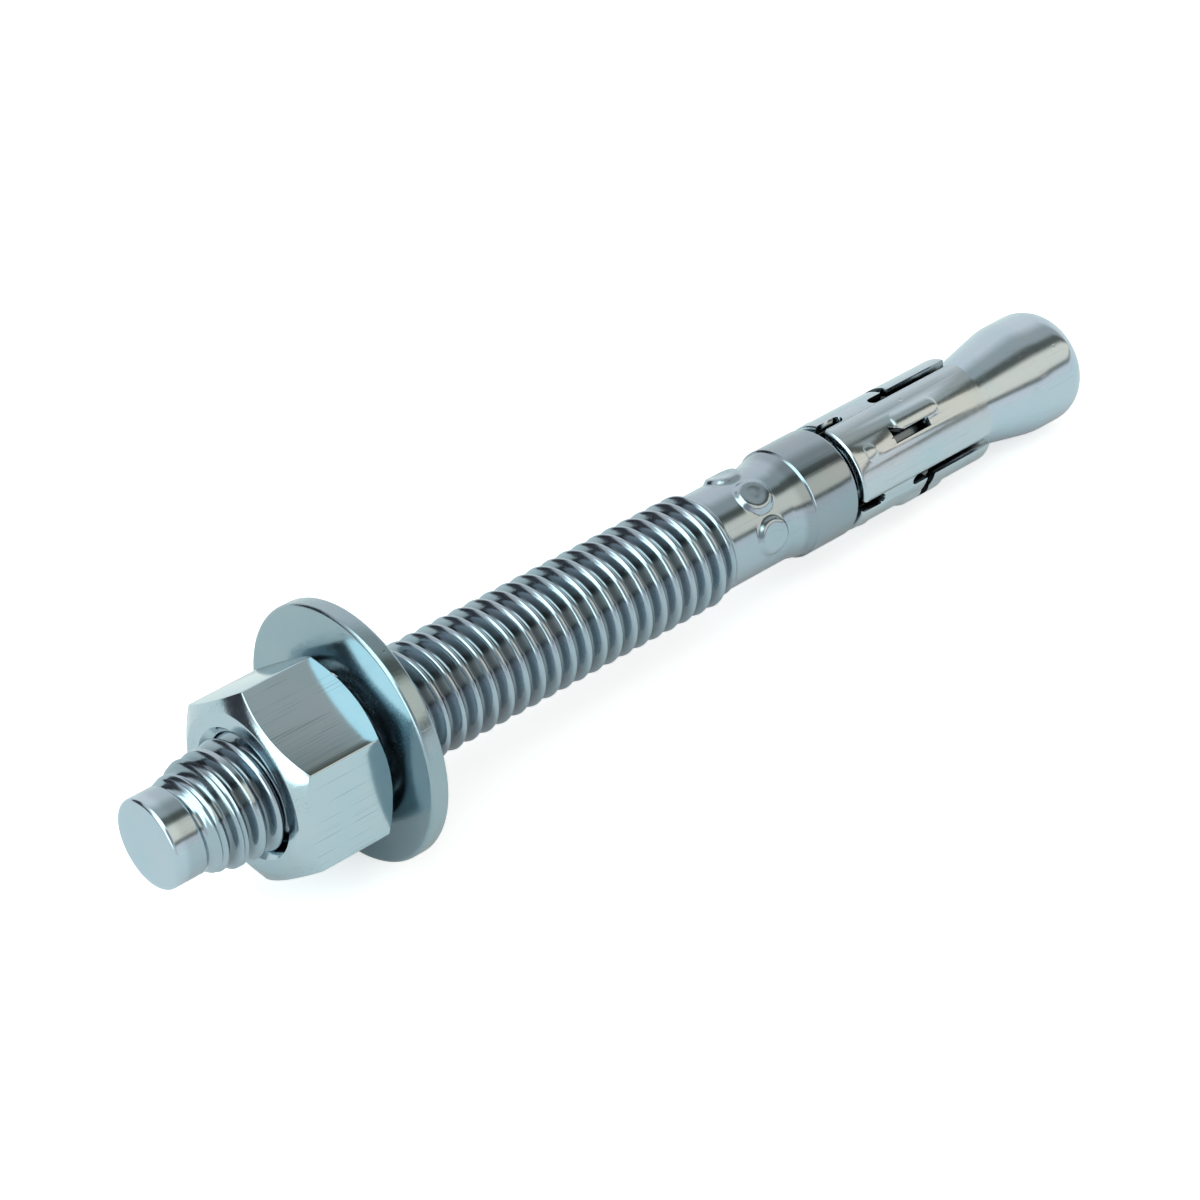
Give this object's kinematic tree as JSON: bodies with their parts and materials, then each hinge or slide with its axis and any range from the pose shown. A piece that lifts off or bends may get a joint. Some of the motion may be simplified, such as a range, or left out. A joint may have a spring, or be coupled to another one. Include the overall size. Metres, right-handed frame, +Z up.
{
  "type": "expansion anchor",
  "caption": "Zinc plated wedge anchor: threaded bolt with a cone end, a slotted expansion sleeve, a loose washer and a hex nut that draws the cone into the sleeve.",
  "frame": {"origin": "middle of the anchor's length and width on the surface that it lies on", "axes": "+X along the anchor from the threaded point to the cone, +Z up"},
  "size_m": [0.0966, 0.021, 0.021],
  "materials": {
    "zinc_bolt": "bright zinc plating",
    "zinc_sheet": "zinc plated sheet",
    "zinc_washer": "satin zinc plating",
    "zinc_nut": "bright zinc plating with drawn flats"
  },
  "bodies": {
    "bolt": {"anchor_bolt": "zinc_bolt"},
    "sleeve": {"expansion_sleeve": "zinc_sheet"},
    "loose_washer": {"washer": "zinc_washer"},
    "nut": {"hex_nut": "zinc_nut"}
  },
  "joints": [
    {"name": "washer_travel", "type": "slide", "parent": "bolt", "child": "loose_washer", "axis": [0.9978, 0, -0.067], "range_m": [-0.00476, 0.03492]},
    {"name": "nut_turn", "type": "hinge", "parent": "loose_washer", "child": "nut", "pos_m": [-0.03514, 0, 0.01031], "axis": [0.9978, 0, -0.067], "range_deg": [-1080, 7920]},
    {"name": "sleeve_slide", "type": "slide", "parent": "bolt", "child": "sleeve", "axis": [0.9978, 0, -0.067], "range_m": [-0.00045, 0.0018]}
  ],
  "couplings": [
    {"joint": "washer_travel", "follows": "nut_turn", "m_per_rad": 0.00025266}
  ]
}
